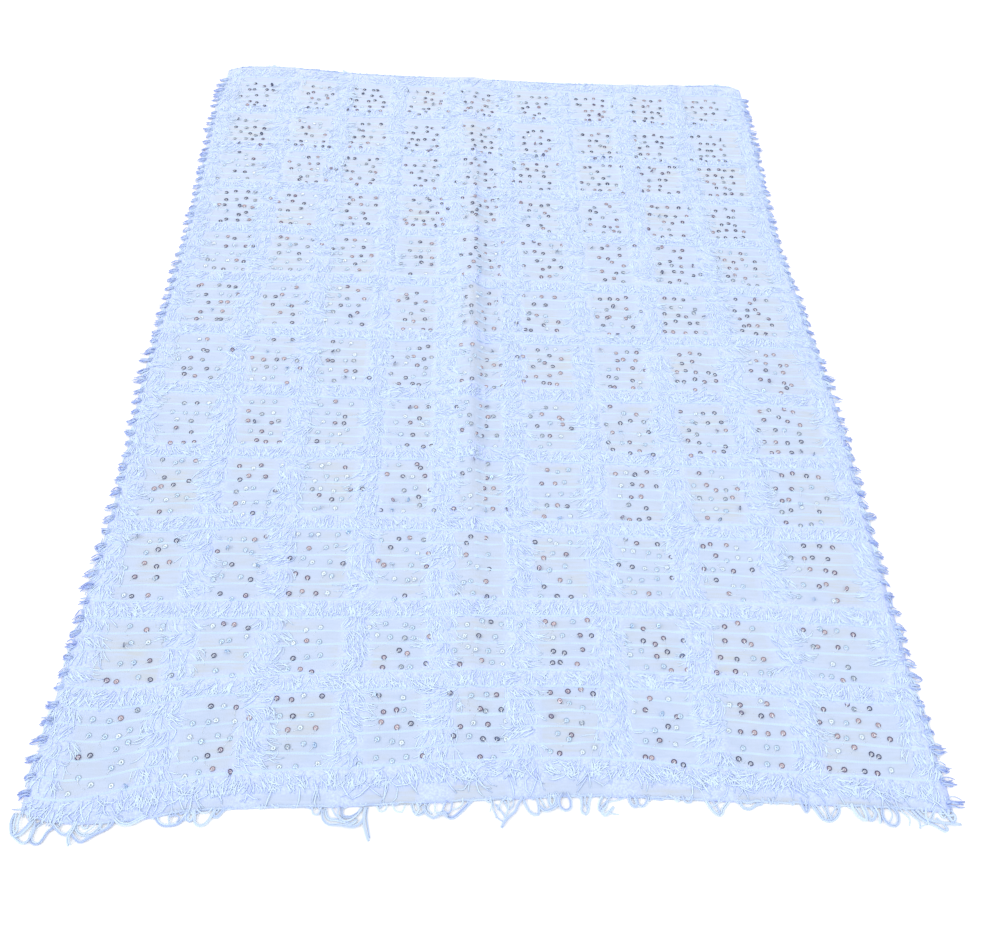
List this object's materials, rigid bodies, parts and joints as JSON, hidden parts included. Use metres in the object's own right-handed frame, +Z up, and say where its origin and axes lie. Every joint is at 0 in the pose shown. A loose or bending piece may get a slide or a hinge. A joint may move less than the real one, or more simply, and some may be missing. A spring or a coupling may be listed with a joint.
{
  "type": "handira wedding blanket",
  "caption": "Flat-lying handwoven wedding blanket: ribbed white ground with columns and bands of lying pile, sewn sequin blocks, tufted sides and looped warp ends.",
  "frame": {"origin": "middle of the blanket's outline, fringe and all, on the surface it lies on", "axes": "+Z up out of the woven face, +Y along the warp from the looped bottom end to the top end, +X across from the left side to the right one"},
  "size_m": [1.5563, 2.1758, 0.0294],
  "materials": {
    "woven_wool": "matte handwoven wool and cotton",
    "cotton_pile": "matte loose cotton pile",
    "warp_cotton": "matte plied cotton warp"
  },
  "bodies": {
    "root": {"blanket_cloth": "woven_wool", "fringe_left": "cotton_pile", "fringe_right": "cotton_pile", "fringe_bottom": "warp_cotton", "fringe_top": "cotton_pile"}
  },
  "joints": []
}
